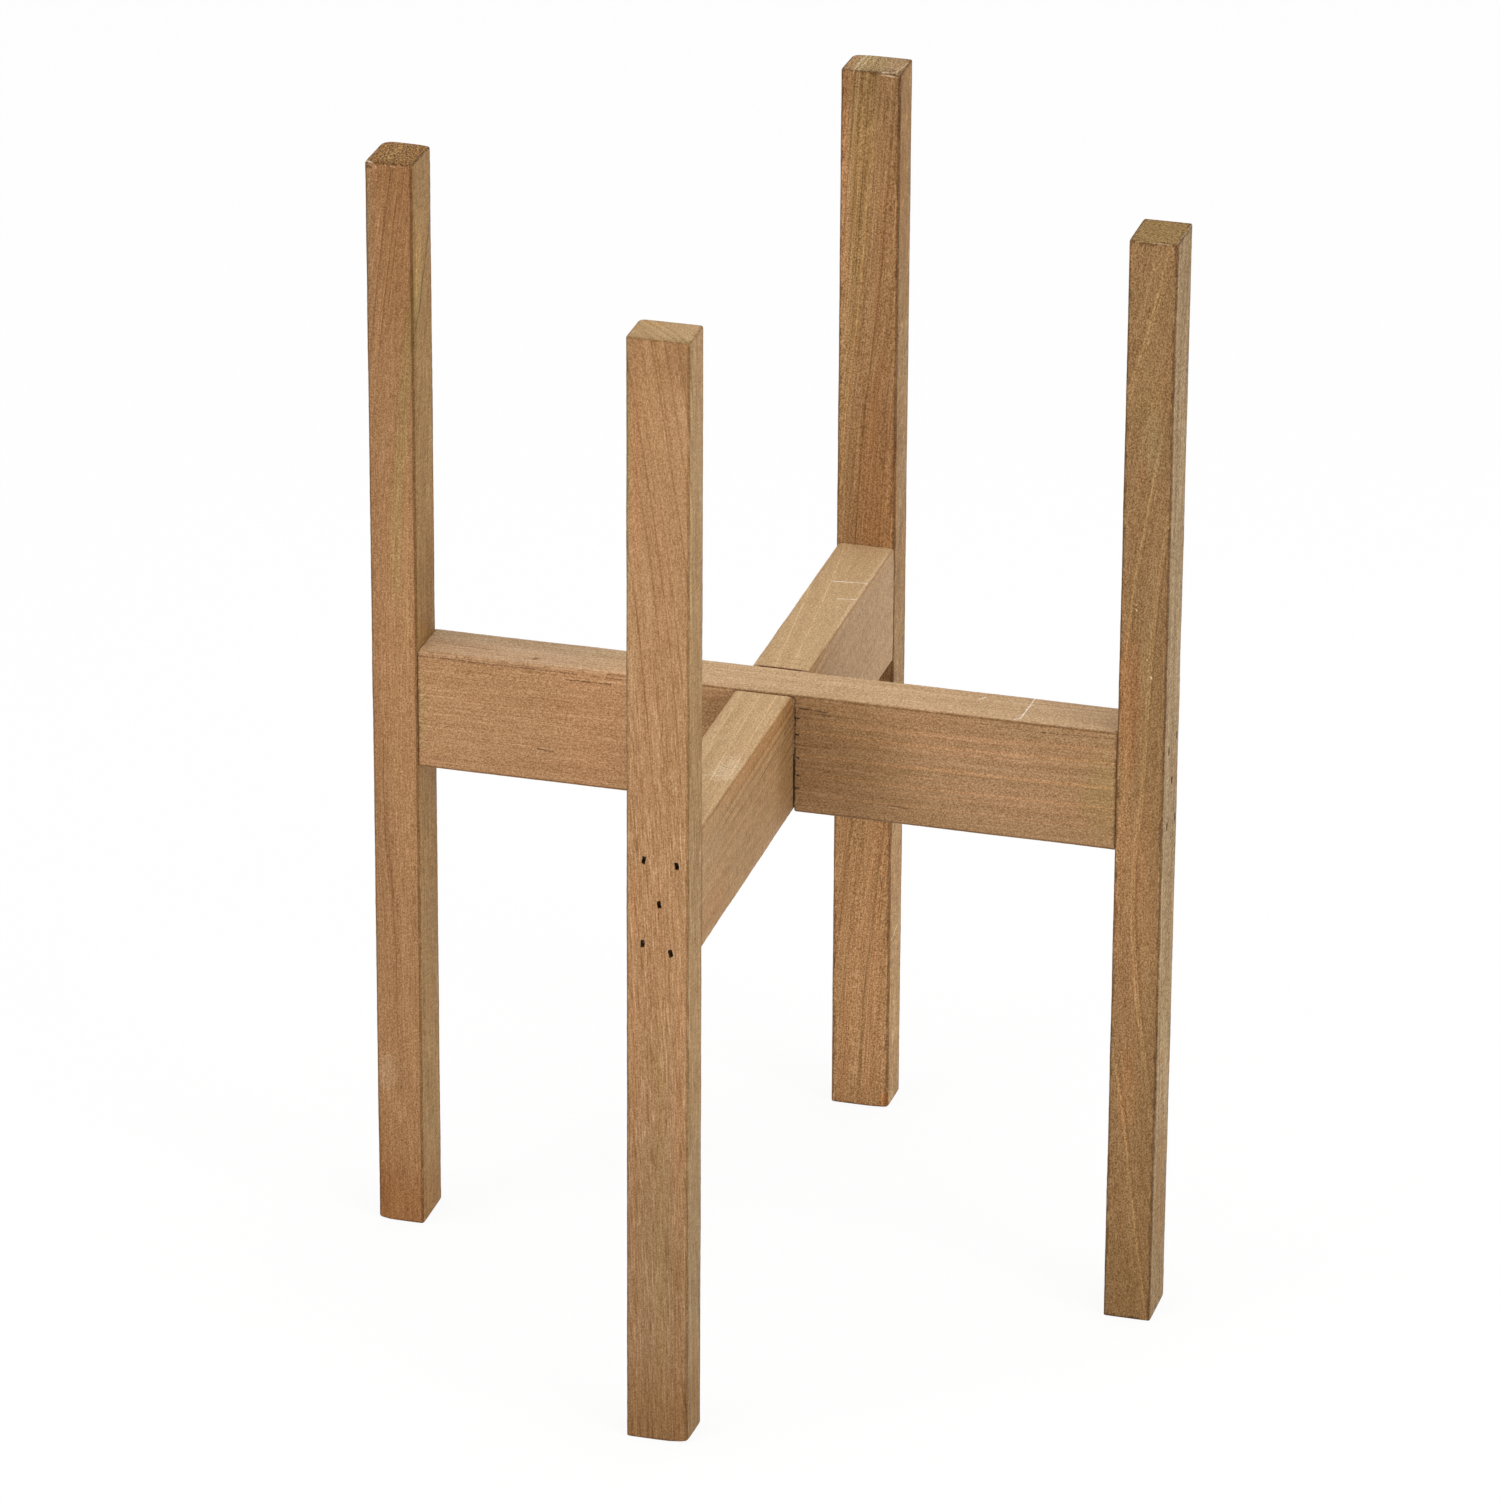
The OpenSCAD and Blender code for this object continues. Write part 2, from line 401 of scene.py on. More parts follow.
def timberMaterial(node, look):
    material = bpy.data.materials.new(node + "Wood")
    material.use_nodes = True
    tree = material.node_tree
    shader = tree.nodes["Principled BSDF"]
    texture = tree.nodes.new("ShaderNodeTexCoord").outputs
    normal = texture["Normal"]
    shift, turn = timberSpaces[node]
    turned = [math.radians(a) for a in turn]
    mapping = {"Vector": texture["Object"], "Location": shift, "Rotation": turned,
               "Scale": (1000, 1000, 1000)}
    position = addNode("Mapping", mapping).outputs[0]
    along = parted(position)[2]
    low, high = look["run"][0][0], look["run"][-1][0]
    curve = addNode("FloatCurve", {"Value": calc("DIVIDE", minus(along, low), high - low)})
    curve.mapping.use_clip = False
    points = curve.mapping.curves[0].points
    while len(points) < len(look["run"]):
        points.new(0.5, 0.5)
    for point, (height, shiftBy) in zip(points, look["run"]):
        point.location = ((height - low) / (high - low), shiftBy / 100 + 0.5)
    curve.mapping.update()
    run = times(minus(curve.outputs[0], 0.5), 100.0)
    grain = useEffect("growthLayers", {
        "Position": position, "Pith": look["pith"], "Run": run, "Wander": look["wander"],
        "Seed": look["seed"],
    })["Grain"]

    def layerAt(point):
        # The growth layer that passes through a point of the timber, wander left out
        away = math.hypot(point[0] - look["pith"][0], point[1] - look["pith"][1])
        bend = curve.mapping.evaluate(curve.mapping.curves[0], (point[2] - low) / (high - low))
        return away + (bend - 0.5) * 100

    tones = {"Along " + axis: colour(tone) for axis, tone in zip("XYZ", look["tones"])}
    tone = useEffect("faceTones", {"Normal": normal, **tones})["Color"]
    squared = vectorCalc("MULTIPLY", normal, normal)
    endOn = parted(squared)[lengthAxis[node]]
    amounts = ("Clouding", "Layers", "Lines", "Fibres", "Speckle", "Flecks", "Shortness", "Closeness", "Seed")
    wood = useEffect("stainedWood", {
        "Grain": grain, "Tone": tone, "Pale Lines": look["paleLines"],
        "End Grain": times(endOn, look["porous"]),
        "Threads": ramp(along, low + (high - low) * 0.55, low + (high - low) * 0.9, *look["threads"]),
        **{name: gain(look[name.lower()]) for name in ("Warm", "Cool", "Deep")},
        **{name: vectorCalc("DOT_PRODUCT", squared, look[name.lower()]) for name in ("Streaks", "Sawn")},
        **{name: look[name.lower()] for name in amounts},
    })
    painted, height = wood["Color"], wood["Height"]
    uneven = useEffect("unevenness", {"Position": position, "Grain": grain, "Seed": look["seed"] + 4})
    for point, width, reach, tint in look["bands"]:
        painted = useEffect("growthBand", {
            "Color": painted, "Grain": grain, "Streaky": uneven["Streaky"], "Layer": layerAt(point),
            "Width": width, "Middle": point[2], "Reach": reach, "Tint": gain(tint),
        })["Color"]
    for centre, size, tint in look["patches"]:
        painted = useEffect("patch", {
            "Color": painted, "Position": position, "Centre": centre, "Size": size, "Tint": gain(tint),
            "Blotchy": uneven["Hazy" if max(size) > 40 else "Blotchy"],
        })["Color"]
    middle, half = timberMiddle(node)
    # Lighter worn stain with a painted highlight, and dark painted shade, along the arrises
    for width, tint, *spared in look["arrises"]:
        painted = useEffect("arrisWearAndShade", {
            "Color": painted, "Position": position, "Normal": normal, "Middle": middle, "Half Size": half,
            "Width": width, "Tint": gain(tint), "Spared": spared[0] if spared else (0, 0, 0),
            "Seed": look["seed"] + width,
        })["Color"]
    # Painted shade inside the slots and notches
    painted = useEffect("recessShading", {
        "Color": painted, "Position": position, "Middle": middle, "Half Size": half,
        "Tint": gain(look["recessShadeTint"]),
    })["Color"]
    for start, end, width, tint, amount, depth in look["scratchesAndPaintedLines"]:
        marked = useEffect("scratchOrPaintedLine", {
            "Color": painted, "Height": height, "Wobbled": uneven["Wobbled"], "Broken": uneven["Broken"],
            "Start": start, "End": end, "Width": width, "Amount": amount, "Depth": depth,
            "Tint": colour(tint),
        })
        painted, height = marked["Color"], marked["Height"]
    feed(shader.inputs["Base Color"], painted)
    feed(shader.inputs["Roughness"], ramp(wood["Dryness"], 0.0, 1.0, 0.56, 0.7))
    shader.inputs["Specular IOR Level"].default_value = 0.15
    bump = addNode("Bump", {"Height": height, "Strength": 0.5, "Distance": 0.12 * mm})
    feed(shader.inputs["Normal"], bump.outputs[0])
    return material


def dressedPiece(name, bm, node, material):
    mesh = bpy.data.meshes.new(name)
    bmesh.ops.recalc_face_normals(bm, faces=bm.faces)
    bm.to_mesh(mesh)
    bm.free()
    for face in mesh.polygons:
        face.use_smooth = True
    mesh.set_sharp_from_angle(angle=math.radians(32))
    mesh.materials.append(material)
    piece = bpy.data.objects.new(name, mesh)
    scene.collection.objects.link(piece)
    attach(piece, "root")
    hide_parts(node)
    return piece


ringStep = 1.25     # mm between the rings of vertices along a timber


def timberBlank(node, shape):
    # The planed and sanded timber, before anything is cut into it. Arrises go by the signs of the
    # two axes across the grain: minus minus, plus minus, minus plus, plus plus.
    low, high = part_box(node)
    centre, size = (low + high) / 2, high - low
    axis = max(range(3), key=lambda i: size[i])
    sides = [i for i in range(3) if i != axis]
    bm = bmesh.new()
    bmesh.ops.create_cube(bm, size=1)
    bmesh.ops.scale(bm, vec=size, verts=bm.verts)
    bmesh.ops.translate(bm, vec=centre, verts=bm.verts)
    for index, radius in enumerate(shape["arrises"]):
        signs = (1 if index % 2 else -1, 1 if index > 1 else -1)
        edge = [e for e in bm.edges if e.calc_length() > size[axis] * 0.99
                and all((e.verts[0].co[i] - centre[i]) * s > size[i] * 0.499 for i, s in zip(sides, signs))]
        bmesh.ops.bevel(bm, geom=edge, offset=radius * mm, segments=5, profile=0.5, affect="EDGES",
                        material=-1)
    reach = max(shape["arrises"]) * mm
    for i in sides:
        half = size[i] / 2 - reach - 0.4 * mm
        steps = max(2, round(half * 2 / (5 * mm)))
        for step in range(steps + 1):
            place = centre.copy()
            place[i] += half * (2 * step / steps - 1)
            bmesh.ops.bisect_plane(bm, geom=bm.verts[:] + bm.edges[:] + bm.faces[:], plane_co=place,
                                   plane_no=[float(k == i) for k in range(3)])
    rim = [e for e in bm.edges if e.calc_length() < size[axis] * 0.5 and len(e.link_faces) == 2
           and abs(e.link_faces[0].normal[axis]) + abs(e.link_faces[1].normal[axis]) < 1.5
           and max(abs(f.normal[axis]) for f in e.link_faces) > 0.9]
    bmesh.ops.bevel(bm, geom=rim, offset=shape["endRadius"] * mm, segments=3, profile=0.5, affect="EDGES",
                    material=-1)
    lengthwise = [e for e in bm.edges if e.calc_length() > size[axis] * 0.5]
    cuts = round(size[axis] / mm / ringStep)
    bmesh.ops.subdivide_edges(bm, edges=lengthwise, cuts=cuts, use_grid_fill=True)
    return bm, centre, size, axis, sides


wearSetup = {
    "faces": 0.05,              # mm that the planed faces wave
    "arrises": (0.22, 0.16),    # mm more on the arrises, in long and in short waves
    "slump": 6,                 # mm from an end that its slump reaches
}


def wear(bm, centre, size, axis, sides, shape):
    # Moves the surface inwards only: a slow waviness of the planed faces, more of it on the arrises
    for vert in bm.verts:
        place = vert.co - centre
        if abs(place[axis]) > size[axis] / 2 - 0.05 * mm:
            continue
        lean = [place[i] / (size[i] / 2) for i in sides]
        corner = min(abs(lean[0]), abs(lean[1]))
        onArris = max(0.0, (corner - 0.8) / 0.2)
        point = place / mm + Vector((shape["seed"], 0, 0))
        slow = noise.noise(point * 0.042) * 0.5 + 0.5
        quick = noise.noise(point * 0.33) * 0.5 + 0.5
        onSlow, onQuick = wearSetup["arrises"]
        depth = (wearSetup["faces"] * slow + onArris * (onSlow * slow + onQuick * quick)) * mm
        for i, amount in zip(sides, lean):
            if abs(amount) > 0.75:
                vert.co[i] -= math.copysign(depth, amount)
    slump = wearSetup["slump"] * mm
    for end, leanOne, leanTwo, drop in shape.get("slumps", ()):
        # One end, sanded down towards a side or corner
        for vert in bm.verts:
            place = vert.co - centre
            fromEnd = size[axis] / 2 - place[axis] * end
            if fromEnd < slump:
                lean = sum(place[i] / size[i] * 2 * share for i, share in zip(sides, (leanOne, leanTwo)))
                vert.co[axis] -= end * drop * max(0.0, lean) ** 4 * (1 - fromEnd / slump) * mm


def cutAway(piece, cutter):
    # Takes the cutter's shape out of the piece for good
    tool = bpy.data.objects.new("cutter", bpy.data.meshes.new("cutter"))
    bmesh.ops.recalc_face_normals(cutter, faces=cutter.faces)
    cutter.to_mesh(tool.data)
    cutter.free()
    scene.collection.objects.link(tool)
    step = piece.modifiers.new("cut", "BOOLEAN")
    step.operation = "DIFFERENCE"
    step.solver = "EXACT"
    step.object = tool
    mesh = bpy.data.meshes.new_from_object(piece.evaluated_get(bpy.context.evaluated_depsgraph_get()))
    piece.modifiers.clear()
    piece.data = mesh
    bpy.data.objects.remove(tool)
    mesh.set_sharp_from_angle(angle=math.radians(32))


slotSetup = {
    # The slots over the nails, five to a post as on a die: across and up in mm from the rail's middle, and
    # their turn in degrees
    "frontBack": [(-5.75, 20, -8), (8.25, 19, 6), (0.8, 0.5, 9), (-6.35, -18, -4), (5.75, -21, 11)],
    "leftRight": [(-5.55, 18.5, 5), (8.95, 20, -6), (1.5, 2, 8), (-5.75, -16.6, 0), (9.15, -18.6, -7)],
    "width": 1.75,
    "length": 3.5,
    "depth": 2.7,
    "ragged": (0.5, 0.6),   # how far their sides wander, across and up
}
# Degrees round from the right-hand post to each post
slotSides = {"post_right": 0, "post_back": 90, "post_left": 180, "post_front": 270}


def slotCutter(node, setup):
    turn = slotSides[node]
    rows = setup["leftRight"] if turn in (0, 180) else setup["frontBack"]
    bm = bmesh.new()
    for index, (across, up, lean) in enumerate(rows):
        already = len(bm.verts)
        made = bmesh.ops.create_cube(bm, size=1)["verts"]
        size = [side * mm for side in (setup["depth"] * 2, setup["width"], setup["length"])]
        bmesh.ops.scale(bm, vec=size, verts=made)
        edges = [e for e in bm.edges if e.verts[0] in made]
        bmesh.ops.subdivide_edges(bm, edges=edges, cuts=4, use_grid_fill=True)
        bm.verts.ensure_lookup_table()
        made = bm.verts[already:]
        for vert in made:
            point = vert.co / mm * 0.55 + Vector((index * 7.3, turn, 0))
            vert.co.y += noise.noise(point + Vector((0, 0, 21.7))) * setup["ragged"][0] * mm
            vert.co.z += noise.noise(point + Vector((0, 0, 63.1))) * setup["ragged"][1] * mm
        bmesh.ops.rotate(bm, cent=(0, 0, 0), matrix=Matrix.Rotation(math.radians(lean), 3, "X"), verts=made)
        bmesh.ops.translate(bm, vec=(postFace, across * mm, railMiddle + up * mm), verts=made)
    bmesh.ops.rotate(bm, cent=(0, 0, 0), matrix=Matrix.Rotation(math.radians(turn), 3, "Z"), verts=bm.verts)
    return bm


# What a timber's wood looks like unless its own dictionary says otherwise. Tints are in percent of red,
# green and blue, and lengths in mm.
plainLook = {
    "wander": 4,                # how far the growth layers stray
    "warm": (108, 98, 94), "cool": (95, 101, 97), "deep": (74, 64, 52), "clouding": 0.45,
    "layers": 0.06, "lines": 0.6, "paleLines": 0.1, "fibres": 0.12, "speckle": 0.24, "flecks": 0.12,
    "threads": (0.3, 0.3),      # at the lower or left end, and at the other
    "streaks": (0.12, 0, 0),    # along the grain on the faces along X, Y and Z
    "sawn": (0.16, 0, 0),       # across the grain on the same faces
    "porous": 0.25,             # how strongly the open pores mark the end grain
    "shortness": 1,             # of the fibres along the timber
    "closeness": 1,             # of the dark lines to each other
    # Tint of the painted shade in slots and notches
    "recessShadeTint": (34, 28, 24),
    # Width and tint along the edges, the lighter one worn stain with a painted highlight and the darker one
    # painted shade, and for some the arris that it spares
    "arrises": [(2.2, (103.2, 102.8, 101.6)), (1.5, (52.5, 47.8, 44.9))],
    "bands": [],        # a point on the layer, its half width, reach along the grain, tint
    "patches": [],      # middle, half size, tint
    "scratchesAndPaintedLines": [],    # start, end, half width, colour, amount, depth
}


def onFace(axis, place, marks):
    # Bands or patches in the face that stands at this place along x or y of the timber's own millimetres:
    # each says where it lies across and along the face, and then the rest
    return [((place, across, along) if axis == "x" else (across, place, along), *rest)
            for across, along, *rest in marks]


frontPost = {
    "shape": {"arrises": (0.9, 1.1, 2.6, 1), "endRadius": 0.7, "seed": 3,
              "slumps": [(1, 0.7, -0.4, 0.5), (-1, 0.8, -0.2, 1.6)]},
    **plainLook, "wander": 1.5, "clouding": 0.25, "speckle": 0.27, "threads": (0.9, 0.1),
    "streaks": (0.14, 0, 0), "porous": 0.14, "shortness": 1.4,
    "arrises": [(2.2, (103.2, 102.8, 101.6)), (1.2, (67, 63.3, 59.5))], "seed": 11, "pith": (-85, -85, 0),
    "tones": ("#AA885E", "#B2875D", "#AD8D63"),
    "run": [(0, 0), (100, 3), (200, 7.5), (250, 10), (300, 12.7), (350, 15.7), (400, 19.7), (450, 25.3),
            (500, 31.3)],
    "bands": onFace("y", -10.5, [
        (5.2, 450, 0.45, 110, (81, 75, 68)), (-0.2, 413, 0.5, 140, (81, 74, 66)),
        (-7.2, 430, 0.4, 120, (85, 79, 72)), (8.8, 462, 0.5, 80, (86, 82, 76)),
        (7.3, 383, 0.4, 60, (85, 79, 72)), (-9.5, 385, 0.38, 70, (85, 79, 72)),
        (-4, 330, 0.38, 70, (86, 80, 74)), (2, 320, 0.4, 60, (91, 88, 84)),
        (-11, 300, 0.45, 70, (91, 88, 84)),
        (8.4, 500, 0.55, 60, (83, 79, 72)), (6.6, 500, 0.6, 40, (108, 108, 107)),
        (13.1, 500, 0.55, 60, (83, 79, 72)), (11.2, 500, 0.6, 40, (108, 108, 107)),
        (-1.4, 500, 0.45, 60, (86, 81, 75)),
    ]),
    "patches": onFace("x", 13.5, [
        # The first patch here is a dark line of painted shade along the back right arris
        (10.5, 250, (3, 3, 1500), (64, 59, 57)), (-8.2, 410, (2, 1.6, 160), (113, 115, 109)),
        (-1, 410, (2, 0.9, 200), (87, 86, 80)), (0, 485, (3, 2.6, 26), (105, 96, 97)),
        (4, 390, (3, 3, 42), (105, 98, 86)), (0, 20, (4, 10, 60), (100, 94, 83)),
        (0, 100, (3, 20, 170), (113, 113, 110)),
    ]) + onFace("y", -10.5, [
        (0, 500, (40, 8, 34), (89, 89, 85)), (-13, 370, (6, 6, 90), (104, 108, 110)),
        (-13.5, 455, (3, 3, 75), (91, 99, 80)), (-9, 440, (1.8, 3, 75), (105, 94, 90)),
        (-2, 470, (9, 6, 45), (104, 103, 100)), (-9.5, 250, (1.8, 3, 26), (106, 94, 89)),
        (1.5, 105, (4, 4, 150), (98, 102, 94)), (-9.5, 105, (3.4, 4, 150), (103, 98, 94)),
        (9, 105, (3.4, 4, 150), (103, 98, 94)),
    ]) + [
        ((0, 0, 0), (60, 60, 245), (73, 76, 78)), ((0, 0, 0), (60, 60, 50), (85, 78, 66)),
        ((9, -10, 492), (9, 6, 18), (90, 87, 84)), ((13, -10, 499), (3, 2.5, 2), (114, 113, 114)),
        # The last patch here is a dark line of painted shade along the front left arris
        ((-6, 6, 500), (6, 4, 2), (102, 96, 86)), ((-13.5, -9, 250), (0.8, 4, 1500), (66, 61, 60)),
    ],
}
leftPost = {
    "shape": {"arrises": (1.1, 1.2, 4.8, 1.1), "endRadius": 0.8, "seed": 17,
              "slumps": [(1, 0.8, 0.3, 0.4), (-1, -1, 0, 1.2)]},
    **plainLook, "clouding": 0.25, "lines": 0.3, "speckle": 0.3, "flecks": 0.3, "threads": (0.4, 0.4),
    "sawn": (0.2, 0, 0), "porous": 1, "closeness": 1.5,
    "arrises": [(2.2, (103.2, 102.8, 101.6)), (0.9, (57.5, 53.2, 50.7))], "seed": 23, "pith": (-95, -28, 0),
    "tones": ("#A27E4F", "#A3784F", "#845D2D"),
    "run": [(0, -2), (100, 0), (150, 1.2), (200, 3.5), (250, 4), (300, 3.5), (350, 1.5), (400, -2.5),
            (450, -8), (500, -14.5)],
    "bands": onFace("y", -13.5, [
        (0.1, 466, 0.5, 60, (118, 114, 109)), (-4.5, 480, 0.45, 40, (114, 111, 107)),
        (-4.5, 458, 0.5, 55, (75, 67, 59)), (-1.4, 448, 0.45, 50, (79, 71, 64)),
        (3.4, 470, 0.45, 45, (80, 73, 66)), (4.2, 375, 4.2, 90, (95, 107, 97)),
        (-3.5, 175, 0.4, 40, (78, 70, 64)), (-1.5, 140, 0.45, 50, (78, 70, 64)),
        (-5.5, 200, 0.45, 50, (79, 72, 66)),
    ]) + onFace("x", 10.5, [
        (-4, 452, 0.6, 26, (110, 108, 105)), (0, 440, 0.9, 34, (87, 85, 80)), (9, 436, 0.2, 40, (82, 78, 73)),
        (2, 412, 0.2, 40, (82, 78, 73)), (8, 405, 0.2, 40, (114, 113, 109)),
        (9, 482, 0.25, 30, (113, 111, 109)),
    ]),
    "patches": onFace("y", -13.5, [
        (-5.5, 73, (5.2, 4, 13), (114, 128, 148)), (-0.5, 56, (4.8, 4, 9), (111, 113, 116)),
        (4, 265, (13, 6, 135), (116, 117, 118)), (-10.5, 470, (5, 6, 75), (87, 93, 100)),
        (4, 500, (16, 8, 40), (85, 79, 71)), (4, 450, (11, 6, 45), (91, 87, 80)),
        (-9, 25, (9, 6, 50), (90, 84, 75)), (8, 140, (10, 6, 115), (108, 110, 111)),
    ]) + onFace("x", 10.5, [
        (0, 102, (3, 2.4, 9), (106, 87, 89)), (2, 50, (3, 2.4, 7), (95, 105, 84)),
        (6, 482, (4, 12, 28), (96, 96, 102)), (-12, 430, (3, 3.6, 78), (84, 80, 75)),
        (-8.3, 440, (3, 0.7, 60), (113, 110, 106)), (-7, 456, (3, 8, 28), (113, 113, 113)),
        # The first patch here is a dark line of painted shade along the back arris of this face
        (13.5, 250, (3, 2.2, 1500), (64, 58, 54)), (7, 424, (3, 8, 24), (94, 93, 91)),
        # The second patch on this line is painted shade just above the through rail, and the last patch on
        # the next line is painted light just below it
        (0, 420, (3, 20, 140), (101, 100, 97)), (0, 296, (3, 20, 46), (83, 77, 68)),
        (0, 500, (3, 20, 36), (93, 93, 95)), (0, 196, (3, 20, 60), (114, 114, 113)),
        # A second dark line of painted shade along the same arris
        (13.5, 250, (4, 3, 1500), (62, 57, 56)),
    ]) + [
        ((0, 0, 0), (60, 60, 40), (87, 77, 64)), ((-1.5, 2, 500), (2.2, 15, 3), (124, 134, 150)),
        ((6, 2, 500), (4, 8, 3), (100, 95, 84)), ((-7, 2, 500), (3.4, 16, 3), (103, 98, 94)),
    ],
    "scratchesAndPaintedLines": [
        # Where one growth layer ends on the side
        ((10.5, -12.6, 422), (10.5, -4.5, 433), 1.1, "#6A4A28", 0.85, 0.2),
        ((10.5, -4.5, 433), (10.5, -0.5, 444), 1.1, "#6A4A28", 0.9, 0.2),
        ((10.5, -0.5, 444), (10.5, 5.4, 454), 1.1, "#6A4A28", 0.85, 0.2),
        ((10.5, 5.4, 454), (10.5, 12.5, 471), 1, "#6A4A28", 0.8, 0.2),
        ((10.2, -13.2, 8), (10.2, -13.2, 52), 0.4, "#C8A271", 0.8, 0),
        # Nicks along the front edge of the top
        ((-5.6, -13.5, 498.6), (-5.2, -13.5, 497.4), 0.5, "#D2A08A", 0.85, 0.5),
        ((-3, -13.3, 499.3), (-2.5, -13.3, 499.2), 0.4, "#C9A172", 0.8, 0.5),
        ((-1.4, -13.3, 499.4), (-1, -13.4, 499.1), 0.4, "#CBA87C", 0.8, 0.5),
        ((1.2, -13.3, 499.3), (1.6, -13.4, 499), 0.45, "#D3AB8E", 0.8, 0.5),
        ((2.4, -13.4, 499.1), (2.8, -13.4, 498.7), 0.45, "#D6A892", 0.85, 0.5),
        ((5.6, -13.3, 499.3), (6, -13.3, 499.1), 0.4, "#C9A172", 0.75, 0.5),
        ((-9.8, -13.4, 498), (-7.6, -13.4, 497.6), 0.8, "#4E3620", 0.85, 0.8),
        ((-9.6, -12.4, 499.8), (-7.2, -13, 499.6), 0.8, "#DCC6A8", 0.85, 0.3),
    ],
}
backPost = {
    "shape": {"arrises": (0.9, 1.3, 2.6, 0.9), "endRadius": 0.7, "seed": 29,
              "slumps": [(1, 0.9, -0.25, 0.6), (1, -0.9, 0.2, 0.5), (-1, 0.8, -0.2, 0.8)]},
    **plainLook, "wander": 2, "deep": (56, 48, 38), "layers": 0.05, "lines": 0.8, "paleLines": 0.35,
    "speckle": 0.42, "threads": (0.45, 0.5), "porous": 0.45, "shortness": 0.6, "closeness": 2.3, "seed": 37,
    "pith": (-150, -9, 0), "tones": ("#A48055", "#A57C51", "#9E7D55"),
    "run": [(0, 12.5), (38, 10.5), (63, 9), (88, 6.5), (119, 3.5), (141, 1.5), (200, 0), (281, -4),
            (338, -7.7), (400, -14), (450, -17), (500, -20)],
    "bands": onFace("y", -10.5, [
        (-8.5, 390, 9, 160, (97, 103, 93)), (-1, 338, 0.8, 190, (70, 62, 54)),
        (-10.5, 480, 0.4, 60, (111, 102, 90)), (-5.5, 440, 0.5, 50, (116, 111, 106)),
        (-4.3, 390, 0.5, 130, (128, 121, 110)), (-8.5, 470, 0.32, 60, (66, 60, 52)),
        (-6.5, 450, 0.32, 60, (66, 60, 52)), (-2.5, 460, 0.32, 60, (68, 61, 54)),
        (-0.5, 410, 0.4, 60, (80, 75, 69)), (-7, 115, 0.8, 46, (75, 70, 64)),
        (2.5, 63, 0.9, 90, (75, 75, 68)), (6.5, 290, 0.6, 60, (80, 73, 66)),
    ]),
    "patches": onFace("y", -10.5, [
        (6, 310, (13, 8, 70), (102, 94, 87)), (-11, 440, (1.6, 4, 90), (104, 97, 90)),
        (-13, 395, (8, 6, 110), (123, 123, 140)), (8, 500, (13, 8, 60), (87, 87, 84)),
        (10, 410, (9, 6, 90), (96, 94, 91)), (2.5, 470, (2, 2, 5), (88, 88, 86)),
        (11.5, 4, (3, 3, 5), (109, 86, 64)), (0, 500, (40, 8, 36), (89, 89, 89)),
        (9, 335, (6, 6, 32), (87, 87, 89)), (-8.9, 87, (0.7, 2, 1.8), (127, 127, 127)),
        # Painted shadow under the cross rail, where it meets the post
        (10, 214, (9, 4, 13), (52, 47, 41)),
    ]) + onFace("x", 13.5, [
        # The second patch here is a dark line of painted shade along the back arris
        (0, 490, (3, 16, 130), (90, 84, 72)), (10.5, 250, (4, 3, 1500), (64, 59, 57)),
        (-10, 478, (3, 2, 40), (90, 89, 87)),
    ]) + [
        ((0, 0, 80), (60, 60, 115), (128, 127, 129)), ((-7.4, 0, 500), (1.1, 30, 2), (150, 175, 210)),
        ((-5.2, 0, 500), (0.9, 30, 2), (135, 150, 170)), ((-2.4, 0, 500), (0.7, 16, 2), (118, 120, 123)),
        ((-11, 2, 500), (2.4, 16, 2), (107, 96, 86)),
    ],
    "scratchesAndPaintedLines": [
        ((8.5, -10.5, 116), (9.5, -10.5, 110), 0.4, "#5E4328", 0.8, 0.8),
        ((13.5, 3, 87), (13.5, -7.4, 84), 0.7, "#E6CFAA", 0.95, 0.2),
        # The front right corner of the top is knocked off
        ((5, -10.2, 499.8), (10.5, -8, 499.9), 0.5, "#E6D2B6", 0.9, 0.3),
        ((10.5, -8, 499.9), (11.8, -0.5, 499.9), 0.5, "#E6D2B6", 0.9, 0.3),
        ((11.8, -0.5, 499.9), (12.6, 5, 499.9), 0.45, "#DCC4A2", 0.8, 0.3),
        ((5, -10.5, 499), (12, -10.5, 498.6), 0.45, "#DCC4A2", 0.8, 0.3),
    ],
}
